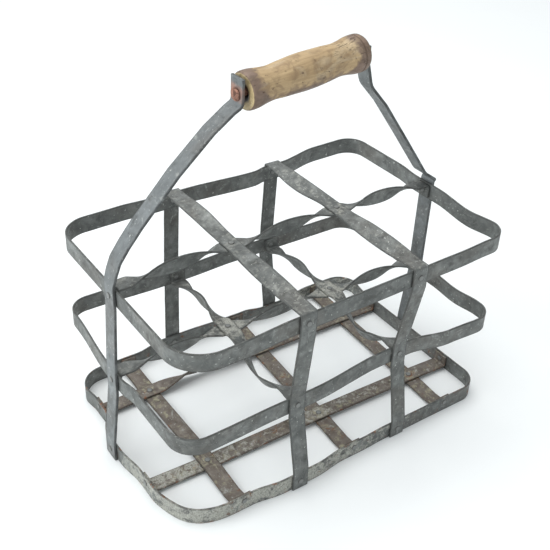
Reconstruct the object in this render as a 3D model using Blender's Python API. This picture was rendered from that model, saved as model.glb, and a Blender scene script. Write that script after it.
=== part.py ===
"""Six-bottle milk carrier of riveted flat strap, with a turned wooden grip.

X runs along the carrier, Y across it, Z is up, and the ground is z = 0.
Three hoops standing on edge make the sides. Straps outside them hold them apart, and the two
end straps run on upwards as the arms that carry the grip.
"""

import math

import bpy
from mathutils import Vector

GAP = 0.0003
STEEL = 0.0015
ARM_STEEL = 0.0022
FLAT = 0.009
CORNER_STEPS = 7

# Each hoop: the height of its upper edge at x = 0, how that rises along X, the outside distance of
# each side from the middle, the corner radii, and the dents of each side as (place along the
# side, distance outwards). A side is level where two neighbouring dents are equal.
HOOP_WIDTH = 0.0150
TOP = {
    "upper": 0.1712,
    "rise": 0.019,
    "sides": {"left": 0.1550, "right": 0.1545, "front": 0.1045, "back": 0.1045},
    "radii": {"front_left": 0.030, "front_right": 0.018, "back_right": 0.018, "back_left": 0.024},
    "dents": {
        "left": ((0.0, 0.0),),
        "right": (
            (-0.088, -0.0005),
            (-0.060, -0.0045),
            (-0.018, 0.0),
            (0.012, 0.0),
            (0.035, 0.0025),
            (0.100, 0.0025),
        ),
        "front": ((-0.110, 0.0020), (-0.064, 0.0), (0.100, 0.0), (0.130, -0.001)),
        "back": (
            (-0.098, 0.001),
            (-0.060, -0.002),
            (-0.038, -0.002),
            (0.034, -0.0076),
            (0.047, -0.0048),
            (0.064, -0.0048),
            (0.108, 0.0035),
        ),
    },
}
MIDDLE = {
    "upper": 0.0909,
    "rise": -0.0027,
    "sides": {"left": 0.1545, "right": 0.1555, "front": 0.1005, "back": 0.1015},
    "radii": {"front_left": 0.021, "front_right": 0.017, "back_right": 0.018, "back_left": 0.018},
    "dents": {
        "left": ((-0.080, 0.0015), (-0.030, 0.0018), (-0.012, 0.0048), (0.012, 0.0048), (0.080, 0.0)),
        "right": ((-0.080, 0.001), (-0.056, -0.0022), (-0.028, 0.0)),
        "front": (
            (-0.130, 0.002),
            (-0.067, 0.0),
            (-0.042, 0.0),
            (0.040, -0.0070),
            (0.066, -0.0070),
            (0.105, 0.0005),
            (0.140, 0.002),
        ),
        "back": ((-0.120, 0.002), (-0.064, 0.0), (-0.038, 0.0), (0.020, 0.0025), (0.120, 0.0025)),
    },
}
BOTTOM = {
    "upper": 0.0151,
    "rise": 0.0,
    "sides": {"left": 0.1545, "right": 0.1545, "front": 0.1040, "back": 0.1000},
    "radii": {"front_left": 0.030, "front_right": 0.019, "back_right": 0.020, "back_left": 0.023},
    "dents": {
        "left": (
            (-0.085, 0.0005),
            (-0.058, 0.0050),
            (-0.038, 0.0050),
            (-0.010, 0.0085),
            (0.014, 0.0085),
            (0.043, -0.002),
            (0.062, -0.002),
            (0.080, 0.0),
        ),
        "right": ((-0.066, -0.001), (0.062, -0.001), (0.085, 0.0025)),
        "front": (
            (-0.135, -0.001),
            (-0.113, 0.0010),
            (-0.094, 0.0010),
            (-0.068, 0.0045),
            (-0.036, 0.0045),
            (-0.004, 0.0010),
            (0.016, 0.0010),
            (0.040, 0.0),
        ),
        "back": (
            (-0.112, -0.004),
            (-0.094, -0.004),
            (-0.063, 0.002),
            (-0.041, 0.002),
            (0.006, 0.0),
            (0.028, 0.0),
            (0.046, -0.004),
            (0.067, -0.004),
            (0.107, 0.002),
            (0.129, 0.002),
        ),
    },
}
HOOPS = {"bottom": BOTTOM, "middle": MIDDLE, "top": TOP}

# Where the uprights cross each hoop along the long sides, and the end straps along the short ones.
FRONT_X = {
    "left": {"bottom": -0.0528, "middle": -0.0548, "top": -0.0525},
    "right": {"bottom": 0.0535, "middle": 0.0537, "top": 0.0540},
}
BACK_X = {
    "left": {"bottom": -0.0518, "middle": -0.0512, "top": -0.0488},
    "right": {"bottom": 0.0565, "middle": 0.0555, "top": 0.0550},
}
END_Y = {
    "left": {"bottom": 0.0035, "middle": -0.0010, "top": 0.0020},
    "right": {"bottom": 0.0035, "middle": 0.0, "top": -0.0010},
}
STRAP_WIDTH = 0.0145
END_WIDTH = 0.0155
CROSSING_Y = 0.0020

# The two spans of each top divider, front then back: how far each is twisted, in degrees, and how
# far its middle is bowed along X and raised.
TOP_SPANS = {
    "left": ((-36, 0.0, 0.0), (-14, 0.0, 0.0015)),
    "right": ((-36, 0.0, 0.0), (-26, -0.0020, 0.0)),
}

# The two spans of each divider across at the middle hoop, front then back, likewise. Their back
# tabs stand beside the uprights by TAB_SHIFT.
MIDDLE_SPANS = {
    "left": ((58, -0.0030, -0.0150), (78, 0.0020, 0.0)),
    "right": ((58, -0.0030, -0.0140), (78, 0.0020, 0.0)),
}
TAB_SHIFT = 0.0045

# Floor: three straps across as the place of their front and back ends, and two along as the
# place of their left and right ends.
FLOOR_X = {"left": (-0.1033, -0.1033), "centre": (0.0060, 0.0175), "right": (0.1100, 0.1180)}
FLOOR_Y = {"front": (-0.0475, -0.0555), "back": (0.0530, 0.0510)}
FLOOR_Z = 0.0030
FLOOR_RIVET_Z = 0.0095
PLY = STEEL + GAP

# Handle: each arm as (distance from the middle, height) of its outside face, then the plate at
# its top, whose middle is drawn out of line as the bail is slightly sprung.
ARM_PATH = {
    "left": (
        (0.1550, 0.1800),
        (0.1515, 0.1900),
        (0.1440, 0.2015),
        (0.1335, 0.2155),
        (0.1185, 0.2330),
        (0.1040, 0.2505),
        (0.0765, 0.2785),
        (0.0603, 0.2912),
    ),
    "right": ((0.1590, 0.1780), (0.1455, 0.1875), (0.1155, 0.2290), (0.0905, 0.2630), (0.0735, 0.2820)),
}
PLATE_X = {"left": 0.0548, "right": 0.0684}
PLATE_Y = {"left": -0.0085, "right": 0.0012}
AXIS_Z = {"left": 0.3024, "right": 0.3099}
PLATE_RISE = {"left": 0.0125, "right": 0.0058}
GRIP_HALF = 0.0562
GRIP_BORE = 0.0036
GRIP_MOUTH = 0.0068
GRIP_PROFILE = (
    (-GRIP_HALF, 0.0134),
    (-0.0542, 0.0144),
    (-0.0482, 0.0144),
    (-0.0395, 0.0131),
    (-0.0315, 0.0126),
    (-0.0195, 0.0135),
    (0.0, 0.0142),
    (0.0195, 0.0135),
    (0.0300, 0.0128),
    (0.0385, 0.0134),
    (0.0465, 0.0147),
    (0.0540, 0.0148),
    (GRIP_HALF, 0.0140),
)
ROD_RADIUS = 0.0032
ROD_HEAD = 0.0052
ROD_SIDES = 20
GRIP_SIDES = 28

SHANK = 0.0019
HEAD = 0.0031
HEAD_RISE = 0.0012
RIVET_SIDES = 8

# Every place above is measured from the middle of the rim. The origin lies on the ground under the
# middle of the whole outline, which the dented hoops draw out to the left and the front.
OUTLINE_SHIFT = Vector((0.0037, 0.0019, 0.0))

holes = {}


def material(name, colour, metallic, roughness):
    made = bpy.data.materials.new(name)
    made.use_nodes = True
    shader = made.node_tree.nodes["Principled BSDF"]
    shader.inputs["Base Color"].default_value = (*colour, 1.0)
    shader.inputs["Metallic"].default_value = metallic
    shader.inputs["Roughness"].default_value = roughness
    return made


def mesh_object(name, points, faces, slot, smooth=False):
    mesh = bpy.data.meshes.new(name)
    mesh.from_pydata([tuple(p) for p in points], [], faces)
    mesh.materials.append(slot)
    mesh.polygons.foreach_set("use_smooth", [smooth] * len(mesh.polygons))
    mesh.update()
    made = bpy.data.objects.new(name, mesh)
    bpy.context.scene.collection.objects.link(made)
    return made


def eased(knots, place):
    """A value that moves smoothly from knot to knot and is level at each of them."""
    if place <= knots[0][0]:
        return knots[0][1]
    for (a, first), (b, second) in zip(knots, knots[1:]):
        if place <= b:
            part = (place - a) / (b - a)
            return first + (second - first) * part * part * (3 - 2 * part)
    return knots[-1][1]


def side_face(hoop, side, place):
    """How far the outside face of a hoop stands from the middle on one side."""
    return hoop["sides"][side] + eased(hoop["dents"][side], place)


def upper_edge(hoop, x):
    return hoop["upper"] + hoop["rise"] * x


def rivet_height(hoop, x):
    return upper_edge(hoop, x) - HOOP_WIDTH / 2


def bent(corners, radius, steps=5):
    """A line through the corners, with each inner corner turned at the given radius."""
    points = [Vector(corners[0])]
    for before, here, after in zip(corners, corners[1:], corners[2:]):
        here = Vector(here)
        back = Vector(before) - here
        on = Vector(after) - here
        turn = math.pi - back.angle(on)
        if turn < math.radians(4):
            points.append(here)
            continue
        reach = min(radius * math.tan(turn / 2), 0.45 * back.length, 0.45 * on.length)
        start = here + back.normalized() * reach
        end = here + on.normalized() * reach
        count = max(2, round(steps * turn / (math.pi / 2)))
        for i in range(count + 1):
            part = i / count
            points.append(start.lerp(here, part).lerp(here.lerp(end, part), part))
    points.append(Vector(corners[-1]))
    return points


def divided(points, longest):
    finer = [points[0]]
    for here, after in zip(points, points[1:]):
        count = max(1, math.ceil((after - here).length / longest - 0.01))
        for i in range(1, count + 1):
            finer.append(here.lerp(after, i / count))
    return finer


def strap(name, points, width, thick, across, slot, twist=None, closed=False):
    """Flat strap along a line. `across` is the way its width lies before any twist."""
    count = len(points)
    corners = []
    for i, point in enumerate(points):
        before = points[i - 1] if i or closed else point
        after = points[(i + 1) % count] if i < count - 1 or closed else point
        along = (after - before).normalized()
        face = along.cross(Vector(across)).normalized()
        side = face.cross(along).normalized()
        if twist:
            angle = math.radians(twist(point))
            side, face = (
                side * math.cos(angle) + face * math.sin(angle),
                face * math.cos(angle) - side * math.sin(angle),
            )
        for u, v in ((-1, -1), (1, -1), (1, 1), (-1, 1)):
            corners.append(point + side * (u * width / 2) + face * (v * thick / 2))
    faces = []
    for i in range(count if closed else count - 1):
        here = 4 * i
        after = 4 * ((i + 1) % count)
        for k in range(4):
            m = (k + 1) % 4
            if not twist:
                faces.append((here + k, here + m, after + m, after + k))
            elif k < 2:
                faces += [(here + k, here + m, after + m), (here + k, after + m, after + k)]
            else:
                faces += [(here + k, here + m, after + k), (here + m, after + m, after + k)]
    if not closed:
        faces.append((3, 2, 1, 0))
        last = 4 * (count - 1)
        faces.append((last, last + 1, last + 2, last + 3))
    return mesh_object(name, corners, faces, slot)


def turned(name, centre, along, rings, sides, slot, closed=False):
    """Round piece: rings of (distance along the axis, radius), with a face at each end."""
    along = Vector(along).normalized()
    right = along.cross(Vector((0, 0, 1)))
    right = right.normalized() if right.length > 0.1 else Vector((1, 0, 0))
    up = right.cross(along)
    points = []
    for distance, radius in rings:
        for k in range(sides):
            angle = 2 * math.pi * (k + 0.5) / sides
            points.append(along * distance + (right * math.cos(angle) + up * math.sin(angle)) * radius)
    faces = []
    count = len(rings)
    for i in range(count if closed else count - 1):
        here = sides * i
        after = sides * ((i + 1) % count)
        for k in range(sides):
            m = (k + 1) % sides
            faces.append((here + m, here + k, after + k, after + m))
    if not closed:
        last = sides * (count - 1)
        faces.append(tuple(range(sides)))
        faces.append(tuple(last + k for k in reversed(range(sides))))
    made = mesh_object(name, points, faces, slot, smooth=True)
    made.location = centre
    return made


def rivet(name, middle, outwards, thickness, pieces):
    """Two-headed rivet through a stack of straps, and the hole it needs in each of them."""
    half = thickness / 2 + GAP
    rings = [
        (-half - HEAD_RISE, HEAD * 0.45),
        (-half - HEAD_RISE * 0.6, HEAD * 0.86),
        (-half, HEAD),
        (-half, SHANK),
        (half, SHANK),
        (half, HEAD),
        (half + HEAD_RISE * 0.6, HEAD * 0.86),
        (half + HEAD_RISE, HEAD * 0.45),
    ]
    turned(name, middle, outwards, rings, RIVET_SIDES, rust_zinc)
    for piece in pieces:
        holes.setdefault(piece, []).append((Vector(middle), Vector(outwards), SHANK + GAP, half))


def drill():
    """Cut the rivet and rod holes out of every strap."""
    for name, cuts in holes.items():
        points = []
        faces = []
        for centre, along, radius, half in cuts:
            reach = half + 0.001
            cutter = turned("cutter", (0, 0, 0), along, [(-reach, radius), (reach, radius)], RIVET_SIDES, zinc)
            base = len(points)
            points += [centre + v.co for v in cutter.data.vertices]
            faces += [tuple(base + k for k in f.vertices) for f in cutter.data.polygons]
            bpy.data.objects.remove(cutter)
        cutter = mesh_object("holes_" + name, points, faces, zinc)
        cutter.hide_render = True
        cutter.display_type = "WIRE"
        cut = bpy.data.objects[name].modifiers.new("holes", "BOOLEAN")
        cut.operation = "DIFFERENCE"
        cut.solver = "EXACT"
        cut.object = cutter


def hoop_line(hoop):
    """The middle of the strap all the way round a hoop, dents included."""
    inset = STEEL / 2
    west, east, south, north = (hoop["sides"][s] - inset for s in ("left", "right", "front", "back"))
    corners = (
        ("front_right", east, -south, -90),
        ("back_right", east, north, 0),
        ("back_left", -west, north, 90),
        ("front_left", -west, -south, 180),
    )
    ring = []
    for name, x, y, start in corners:
        radius = hoop["radii"][name]
        cx = x - math.copysign(radius, x)
        cy = y - math.copysign(radius, y)
        for i in range(CORNER_STEPS + 1):
            angle = math.radians(start + 90 * i / CORNER_STEPS)
            ring.append(Vector((cx + radius * math.cos(angle), cy + radius * math.sin(angle), 0)))
    ring = divided(ring + [ring[0]], 0.0125)[:-1]
    for point in ring:
        x, y = point.x, point.y
        end, way = ("right", 1) if x > 0 else ("left", -1)
        reach = min(1.0, abs(x) / (hoop["sides"][end] - 0.032))
        point.x += way * eased(hoop["dents"][end], y) * reach * reach
        side, way = ("back", 1) if y > 0 else ("front", -1)
        reach = min(1.0, abs(y) / (hoop["sides"][side] - 0.032))
        point.y += way * eased(hoop["dents"][side], x) * reach * reach
        point.z = rivet_height(hoop, point.x)
    return ring


def upright_corners(end, front):
    """A long-side upright from the ground to the rim, level with each hoop where they touch."""
    side = "front" if front else "back"
    sign = -1 if front else 1
    corners = []
    for level, hoop in HOOPS.items():
        x = (FRONT_X if front else BACK_X)[end][level]
        y = sign * (side_face(hoop, side, x) + GAP + STEEL / 2)
        top = upper_edge(hoop, x)
        corners.append(Vector((x, y, max(0.0002, top - HOOP_WIDTH - 0.003))))
        corners.append(Vector((x, y, top + (0.003 if level != "top" else GAP + 0.0002 + STEEL / 2))))
    return corners


def cross_frame(end):
    """Front upright, top divider and back upright in one strap, folded over both rims."""
    front = upright_corners(end, True)
    back = upright_corners(end, False)
    line = divided(bent(front + back[::-1], 0.0015, 4), 0.012)
    height = front[-1].z
    spans = ((front[-1].y + 0.004, CROSSING_Y - FLAT), (CROSSING_Y + FLAT, back[-1].y - 0.004))

    def wave(point, share):
        """The shape of one value of TOP_SPANS along the divider: none at the rims and the crossing."""
        if point.z > height - 0.002:
            for values, (a, b) in zip(TOP_SPANS[end], spans):
                if a < point.y < b:
                    return values[share] * math.sin(math.pi * (point.y - a) / (b - a)) ** 2
        return 0.0

    moves = [Vector((wave(point, 1), 0, wave(point, 2))) for point in line]
    line = [point + move for point, move in zip(line, moves)]

    name = "cross_frame_" + end
    strap(name, line, STRAP_WIDTH, STEEL, (1, 0, 0), zinc, lambda point: wave(point, 0))
    for side, sign, xs in (("front", -1, FRONT_X), ("back", 1, BACK_X)):
        for level, hoop in HOOPS.items():
            x = xs[end][level]
            stack = [name, level + "_hoop"]
            inner = 0.0
            if level == "middle":
                stack.append("middle_cross_" + end)
                inner = PLY
                x += TAB_SHIFT / 2 if side == "back" else 0.0
            thickness = STEEL + PLY + inner
            outside = side_face(hoop, side, x) + PLY
            centre = (x, sign * (outside - thickness / 2), rivet_height(hoop, x))
            rivet(f"rivet_{level}_{side}_{end}", centre, (0, sign, 0), thickness, stack)


def end_strap(end):
    """End upright that carries on over the rim as one arm of the handle."""
    sign = -1 if end == "left" else 1
    name = "end_strap_" + end
    half = ARM_STEEL / 2
    corners = []
    for level, hoop in HOOPS.items():
        y = END_Y[end][level]
        x = side_face(hoop, end, y) + GAP + half
        top = upper_edge(hoop, sign * x)
        corners.append(Vector((sign * x, y, max(0.0002, top - HOOP_WIDTH - 0.003))))
        corners.append(Vector((sign * x, y, top + 0.002)))
    foot = corners[-1].z
    for x, z in ARM_PATH[end]:
        drift = min(1.0, (z - foot) / (AXIS_Z[end] - foot)) ** 1.5
        corners.append(Vector((sign * (x - half), y + (PLATE_Y[end] - y) * drift, z)))
    x = sign * (PLATE_X[end] - half)
    corners.append(Vector((x, PLATE_Y[end], AXIS_Z[end] - 0.0072)))
    corners.append(Vector((x, PLATE_Y[end], AXIS_Z[end] + PLATE_RISE[end])))
    line = divided(bent(corners, 0.014, 6), 0.03)
    strap(name, line, END_WIDTH, ARM_STEEL, (0, 1, 0), zinc)
    for level, hoop in HOOPS.items():
        stack = [name, level + "_hoop"]
        inner = 0.0
        if level != "bottom":
            stack.append(level + "_long_divider")
            inner = PLY
        thickness = ARM_STEEL + PLY + inner
        y = END_Y[end][level]
        outside = side_face(hoop, end, y) + GAP + ARM_STEEL
        x = sign * (outside - thickness / 2)
        centre = (x, y, rivet_height(hoop, x))
        rivet(f"rivet_{level}_end_{end}", centre, (sign, 0, 0), thickness, stack)


def tab(point, hoop, first, way=1):
    """The two corners of a divider's end inside a hoop: turned down, or up where way is -1."""
    middle = rivet_height(hoop, point.x)
    pair = [point + Vector((0, 0, middle + way * rise)) for rise in (-0.0057, 0.0058)]
    return pair if first else pair[::-1]


def crossing_x(end, level):
    """Where a divider across meets the long divider of its level."""
    return 0.49 * FRONT_X[end][level] + 0.51 * BACK_X[end][level]


def long_divider(level, hoop, turn):
    """Divider along the carrier: tabs riveted inside the hoop, flat at both crossings."""
    near, far = (END_Y[end][level] for end in ("left", "right"))
    left = Vector((-side_face(hoop, "left", near) + PLY + STEEL / 2, near, 0))
    right = Vector((side_face(hoop, "right", far) - PLY - STEEL / 2, far, 0))
    runs = []
    crossings = []
    for end in ("left", "right"):
        x = crossing_x(end, level)
        height = upper_edge(hoop, x) - STEEL / 2 - PLY
        if level == "top":
            height += PLY + GAP + 0.0001
        crossings.append(Vector((x, CROSSING_Y, height)))
        runs.append(crossings[-1] - Vector((FLAT, 0, 0)))
        runs.append(crossings[-1] + Vector((FLAT, 0, 0)))
    corners = tab(left, hoop, True) + runs + tab(right, hoop, False)
    line = divided(bent(corners, 0.0022, 4), 0.0062)
    stops = [left.x + 0.012, crossings[0].x - FLAT, crossings[0].x + FLAT]
    stops += [crossings[1].x - FLAT, crossings[1].x + FLAT, right.x - 0.012]

    def twist(point):
        for a, b in zip(stops[::2], stops[1::2]):
            if a < point.x < b:
                return -turn * math.sin(math.pi * (point.x - a) / (b - a))
        return 0.0

    name = level + "_long_divider"
    strap(name, line, STRAP_WIDTH, STEEL, (0, 1, 0), zinc, twist)
    over = "cross_frame_" if level == "top" else "middle_cross_"
    for end, point in zip(("left", "right"), crossings):
        centre = point + Vector((0, 0, PLY / 2))
        rivet(f"rivet_{level}_crossing_{end}", centre, (0, 0, 1), STEEL + PLY, [name, over + end])


def middle_cross(end):
    """Divider across at the middle hoop: its front tab is turned down and its back tab up."""
    x = FRONT_X[end]["middle"]
    front = Vector((x, -side_face(MIDDLE, "front", x) + PLY + STEEL / 2, 0))
    x = BACK_X[end]["middle"] + TAB_SHIFT
    back = Vector((x, side_face(MIDDLE, "back", x) - PLY - STEEL / 2, 0))
    x = crossing_x(end, "middle")
    centre = Vector((x, CROSSING_Y, upper_edge(MIDDLE, x) - STEEL / 2))
    runs = [centre - Vector((0, FLAT, 0)), centre + Vector((0, FLAT, 0))]
    corners = tab(front, MIDDLE, True) + runs + tab(back, MIDDLE, False, -1)
    line = divided(bent(corners, 0.0022, 4), 0.0058)
    spans = ((front.y + 0.004, centre.y - FLAT), (centre.y + FLAT, back.y - 0.008))

    def wave(point, share, power):
        """The shape of one value of MIDDLE_SPANS along the divider: none at its tabs and crossing."""
        for values, (a, b) in zip(MIDDLE_SPANS[end], spans):
            if a < point.y < b:
                return values[share] * math.sin(math.pi * (point.y - a) / (b - a)) ** power
        return 0.0

    moves = [Vector((wave(point, 1, 2), 0, wave(point, 2, 2))) for point in line]
    line = [point + move for point, move in zip(line, moves)]
    strap(
        "middle_cross_" + end, line, STRAP_WIDTH, STEEL, (1, 0, 0), zinc, lambda point: wave(point, 0, 1)
    )


def floor_line(near, far, runs, longest):
    """A floor strap's line, turned up inside the bottom hoop at both ends."""
    rise = Vector((0, 0, BOTTOM["upper"] - 0.0012))
    low = Vector((0, 0, FLOOR_Z + 0.0008))
    corners = [near + rise, near + low, *(Vector(p) for p in runs), far + low, far + rise]
    return divided(bent(corners, 0.0022, 4), longest)


def floor_rivets(name, tag, ends):
    for label, point, outwards in ends:
        centre = point + Vector(outwards) * (PLY / 2)
        centre.z = FLOOR_RIVET_Z
        rivet(f"rivet_floor_{tag}_{label}", centre, outwards, STEEL + PLY, [name, "bottom_hoop"])


def floor_x(place, y):
    """Where a floor strap across lies, as not all of them are quite square to the hoop."""
    front, back = FLOOR_X[place]
    return front + (back - front) * (y + BOTTOM["sides"]["front"]) / (2 * BOTTOM["sides"]["front"])


def floor_y(row, x):
    """Where a lengthwise floor strap lies, as neither of them is quite square to the hoop."""
    left, right = FLOOR_Y[row]
    return left + (right - left) * (x + BOTTOM["sides"]["left"]) / (2 * BOTTOM["sides"]["left"])


def floor_crossing(place, row):
    x = sum(FLOOR_X[place]) / 2
    y = floor_y(row, x)
    return Vector((floor_x(place, y), y, 0))


def floor_cross(place):
    front, back = FLOOR_X[place]
    inside = PLY + STEEL / 2
    near = Vector((front, -side_face(BOTTOM, "front", front) + inside, 0))
    far = Vector((back, side_face(BOTTOM, "back", back) - inside, 0))
    y = near.y + 0.016
    runs = [(floor_x(place, y), y, FLOOR_Z - 0.0010)]
    for row in FLOOR_Y:
        y = floor_crossing(place, row).y
        lift = PLY if (place, row) == ("left", "front") else 0.0
        runs.append((floor_x(place, y - FLAT), y - FLAT, FLOOR_Z + lift))
        runs.append((floor_x(place, y + FLAT), y + FLAT, FLOOR_Z + lift))
    name = "floor_cross_" + place
    strap(name, floor_line(near, far, runs, 0.022), STRAP_WIDTH, STEEL, (1, 0, 0), floor_zinc)
    floor_rivets(name, place, (("front", near, (0, -1, 0)), ("back", far, (0, 1, 0))))


def floor_long(row, turn):
    inside = PLY + STEEL / 2
    left, right = FLOOR_Y[row]
    near = Vector((-side_face(BOTTOM, "left", left) + inside, left, 0))
    far = Vector((side_face(BOTTOM, "right", right) - inside, right, 0))
    runs = []
    crossings = {place: floor_crossing(place, row) for place in FLOOR_X}
    for place, point in crossings.items():
        lift = 0.0 if (place, row) == ("left", "front") else PLY
        for x in (point.x - FLAT, point.x + FLAT):
            runs.append((x, floor_y(row, x), FLOOR_Z + lift))
    line = floor_line(near, far, runs, 0.0062 if turn else 0.022)
    start = crossings["left"].x + FLAT
    end = crossings["centre"].x - FLAT

    def wave(x):
        return math.sin(math.pi * (x - start) / (end - start)) if start < x < end else 0.0

    if turn:
        for point in line:
            point.z += 0.0045 * wave(point.x)
    name = "floor_long_" + row
    strap(name, line, STRAP_WIDTH, STEEL, (0, 1, 0), floor_zinc, lambda p: -turn * wave(p.x) ** 1.5)
    floor_rivets(name, row, (("left", near, (-1, 0, 0)), ("right", far, (1, 0, 0))))
    for place, point in crossings.items():
        centre = point + Vector((0, 0, FLOOR_Z + PLY / 2))
        stack = [name, "floor_cross_" + place]
        rivet(f"rivet_floor_crossing_{place}_{row}", centre, (0, 0, 1), STEEL + PLY, stack)


def handle():
    """Grip turned about the rod, which is headed over outside each arm."""
    left = Vector((-PLATE_X["left"], PLATE_Y["left"], AXIS_Z["left"]))
    right = Vector((PLATE_X["right"], PLATE_Y["right"], AXIS_Z["right"]))
    along = (right - left).normalized()
    centre = (left + right) / 2
    half = (right - left).length / 2 + 0.0008
    rings = [
        (-half - 0.0016, ROD_HEAD * 0.5),
        (-half - 0.0010, ROD_HEAD * 0.88),
        (-half, ROD_HEAD),
        (-half, ROD_RADIUS),
        (half, ROD_RADIUS),
        (half, ROD_HEAD),
        (half + 0.0010, ROD_HEAD * 0.88),
        (half + 0.0016, ROD_HEAD * 0.5),
    ]
    turned("handle_rod", centre, along, rings, ROD_SIDES, rust)
    for end, point in (("left", left), ("right", right)):
        cut = (point, along, ROD_RADIUS + 0.0006, 0.005)
        holes.setdefault("end_strap_" + end, []).append(cut)
    inner = [(GRIP_HALF, GRIP_MOUTH), (GRIP_HALF - 0.004, GRIP_BORE)]
    inner += [(-d, r) for d, r in reversed(inner)]
    turned("grip", centre, along, [*GRIP_PROFILE, *inner], GRIP_SIDES, wood, closed=True)


for leftover in list(bpy.data.objects):
    bpy.data.objects.remove(leftover)

zinc = material("Galvanised steel", (0.23, 0.25, 0.26), 0.8, 0.5)
floor_zinc = material("Worn galvanised steel", (0.17, 0.155, 0.13), 0.6, 0.6)
rust_zinc = material("Rivet steel", (0.13, 0.13, 0.125), 0.7, 0.5)
rust = material("Rusted steel", (0.32, 0.14, 0.08), 0.4, 0.7)
wood = material("Turned wood", (0.37, 0.24, 0.13), 0.0, 0.6)

for level_name, hoop_sizes in HOOPS.items():
    strap(level_name + "_hoop", hoop_line(hoop_sizes), HOOP_WIDTH, STEEL, (0, 0, 1), zinc, closed=True)
for end_side in ("left", "right"):
    cross_frame(end_side)
    end_strap(end_side)
    middle_cross(end_side)
long_divider("top", TOP, 82)
long_divider("middle", MIDDLE, 80)
for column in FLOOR_X:
    floor_cross(column)
floor_long("front", 0)
floor_long("back", 70)
handle()
drill()
for made in bpy.data.objects:
    made.location += OUTLINE_SHIFT
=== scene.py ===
"""Looks for the six-bottle milk carrier: finished straps, rivets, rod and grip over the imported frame.

X runs along the carrier, Y across it, Z is up. Every strap is laid along the same line as its
solid, with a rounded rolled edge, and carries attributes that its material reads.
"""

import math

import bpy
import numpy as np
from mathutils import Matrix, Vector, noise


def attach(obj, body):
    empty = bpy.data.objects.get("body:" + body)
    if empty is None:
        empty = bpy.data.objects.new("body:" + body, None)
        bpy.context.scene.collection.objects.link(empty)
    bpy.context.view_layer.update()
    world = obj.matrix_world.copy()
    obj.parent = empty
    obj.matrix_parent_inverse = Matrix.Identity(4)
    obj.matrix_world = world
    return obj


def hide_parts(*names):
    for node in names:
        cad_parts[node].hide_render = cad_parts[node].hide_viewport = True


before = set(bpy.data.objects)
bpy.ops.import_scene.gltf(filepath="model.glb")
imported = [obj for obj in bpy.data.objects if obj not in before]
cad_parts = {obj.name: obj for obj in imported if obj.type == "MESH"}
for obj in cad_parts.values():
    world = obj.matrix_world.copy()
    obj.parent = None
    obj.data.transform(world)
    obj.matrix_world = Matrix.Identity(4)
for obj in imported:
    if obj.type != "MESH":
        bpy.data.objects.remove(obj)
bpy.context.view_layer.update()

GAP = 0.0003
STEEL = 0.0015
ARM_STEEL = 0.0022
FLAT = 0.009
CORNER_STEPS = 24

# Each hoop: the height of its upper edge at x = 0, how that rises along X, the outside distance of
# each side from the middle, the corner radii, and the dents of each side as (place along the
# side, distance outwards). A side is level where two neighbouring dents are equal.
HOOP_WIDTH = 0.0150
TOP = {
    "upper": 0.1712,
    "rise": 0.019,
    "sides": {"left": 0.1550, "right": 0.1545, "front": 0.1045, "back": 0.1045},
    "radii": {"front_left": 0.030, "front_right": 0.018, "back_right": 0.018, "back_left": 0.024},
    "dents": {
        "left": ((0.0, 0.0),),
        "right": (
            (-0.088, -0.0005),
            (-0.060, -0.0045),
            (-0.018, 0.0),
            (0.012, 0.0),
            (0.035, 0.0025),
            (0.100, 0.0025),
        ),
        "front": ((-0.110, 0.0020), (-0.064, 0.0), (0.100, 0.0), (0.130, -0.001)),
        "back": (
            (-0.098, 0.001),
            (-0.060, -0.002),
            (-0.038, -0.002),
            (0.034, -0.0076),
            (0.047, -0.0048),
            (0.064, -0.0048),
            (0.108, 0.0035),
        ),
    },
}
MIDDLE = {
    "upper": 0.0909,
    "rise": -0.0027,
    "sides": {"left": 0.1545, "right": 0.1555, "front": 0.1005, "back": 0.1015},
    "radii": {"front_left": 0.021, "front_right": 0.017, "back_right": 0.018, "back_left": 0.018},
    "dents": {
        "left": ((-0.080, 0.0015), (-0.030, 0.0018), (-0.012, 0.0048), (0.012, 0.0048), (0.080, 0.0)),
        "right": ((-0.080, 0.001), (-0.056, -0.0022), (-0.028, 0.0)),
        "front": (
            (-0.130, 0.002),
            (-0.067, 0.0),
            (-0.042, 0.0),
            (0.040, -0.0070),
            (0.066, -0.0070),
            (0.105, 0.0005),
            (0.140, 0.002),
        ),
        "back": ((-0.120, 0.002), (-0.064, 0.0), (-0.038, 0.0), (0.020, 0.0025), (0.120, 0.0025)),
    },
}
BOTTOM = {
    "upper": 0.0151,
    "rise": 0.0,
    "sides": {"left": 0.1545, "right": 0.1545, "front": 0.1040, "back": 0.1000},
    "radii": {"front_left": 0.030, "front_right": 0.019, "back_right": 0.020, "back_left": 0.023},
    "dents": {
        "left": (
            (-0.085, 0.0005),
            (-0.058, 0.0050),
            (-0.038, 0.0050),
            (-0.010, 0.0085),
            (0.014, 0.0085),
            (0.043, -0.002),
            (0.062, -0.002),
            (0.080, 0.0),
        ),
        "right": ((-0.066, -0.001), (0.062, -0.001), (0.085, 0.0025)),
        "front": (
            (-0.135, -0.001),
            (-0.113, 0.0010),
            (-0.094, 0.0010),
            (-0.068, 0.0045),
            (-0.036, 0.0045),
            (-0.004, 0.0010),
            (0.016, 0.0010),
            (0.040, 0.0),
        ),
        "back": (
            (-0.112, -0.004),
            (-0.094, -0.004),
            (-0.063, 0.002),
            (-0.041, 0.002),
            (0.006, 0.0),
            (0.028, 0.0),
            (0.046, -0.004),
            (0.067, -0.004),
            (0.107, 0.002),
            (0.129, 0.002),
        ),
    },
}
HOOPS = {"bottom": BOTTOM, "middle": MIDDLE, "top": TOP}

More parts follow.
